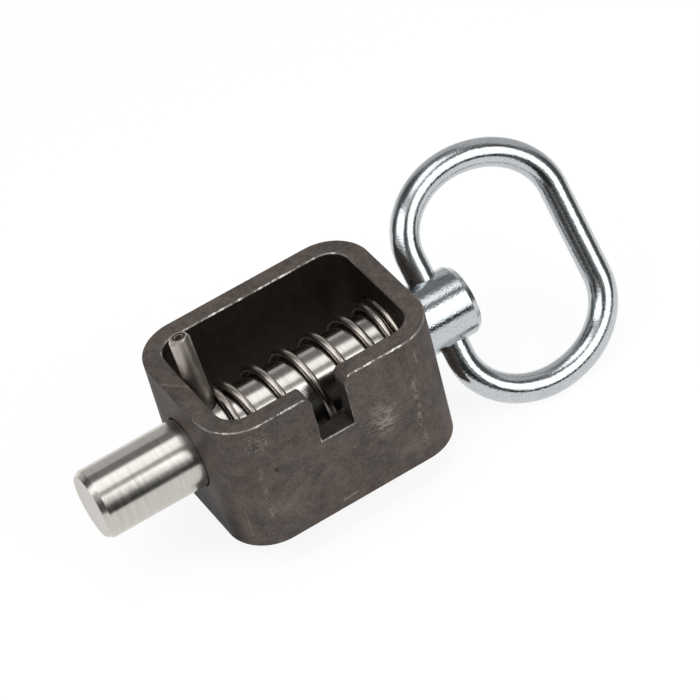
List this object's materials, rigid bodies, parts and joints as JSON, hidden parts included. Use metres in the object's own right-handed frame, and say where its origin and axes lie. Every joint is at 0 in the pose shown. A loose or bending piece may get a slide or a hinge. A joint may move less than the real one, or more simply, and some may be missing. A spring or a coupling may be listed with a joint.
{
  "type": "spring loaded gate latch",
  "caption": "Weld-on gate latch: a tube housing with a sliding sprung bolt, a cross pin that drops in a hold-open notch and a pull ring handle.",
  "frame": {"origin": "on the housing's back face, the face that is welded to the gate, midway along it and level with the bolt's axis", "axes": "+X along the bolt from its tip to the ring handle, +Y out of the back face towards the gate, +Z to the open end with the notch, where the cross pin stands"},
  "size_m": [0.1269, 0.0414, 0.0499],
  "materials": {
    "housing_steel": "raw hot-rolled tube with dark mill scale, scuffed bright at its cut edges",
    "bolt_steel": "bare ground bar, bright, with fine lines round it",
    "spring_steel": "oiled hardened spring steel, satin",
    "zinc_plate": "bright zinc plate, smooth and slightly blue"
  },
  "bodies": {
    "housing": {"housing": "housing_steel"},
    "spring": {"return_spring": "spring_steel"},
    "plunger": {"bolt": "bolt_steel", "roll_pin": "spring_steel", "handle_hub": "zinc_plate", "handle_ring": "zinc_plate"}
  },
  "joints": [
    {"name": "bolt_turn", "type": "hinge", "parent": "housing", "child": "spring", "pos_m": [0, -0.0207, 0], "axis": [1, 0, 0], "range_deg": [-24, 46]},
    {"name": "bolt_slide", "type": "slide", "parent": "spring", "child": "plunger", "axis": [1, 0, 0], "range_m": [0, 0.025], "stiffness_N_per_m": 2900, "springref_m": -0.008, "deforming": ["return_spring"]}
  ]
}
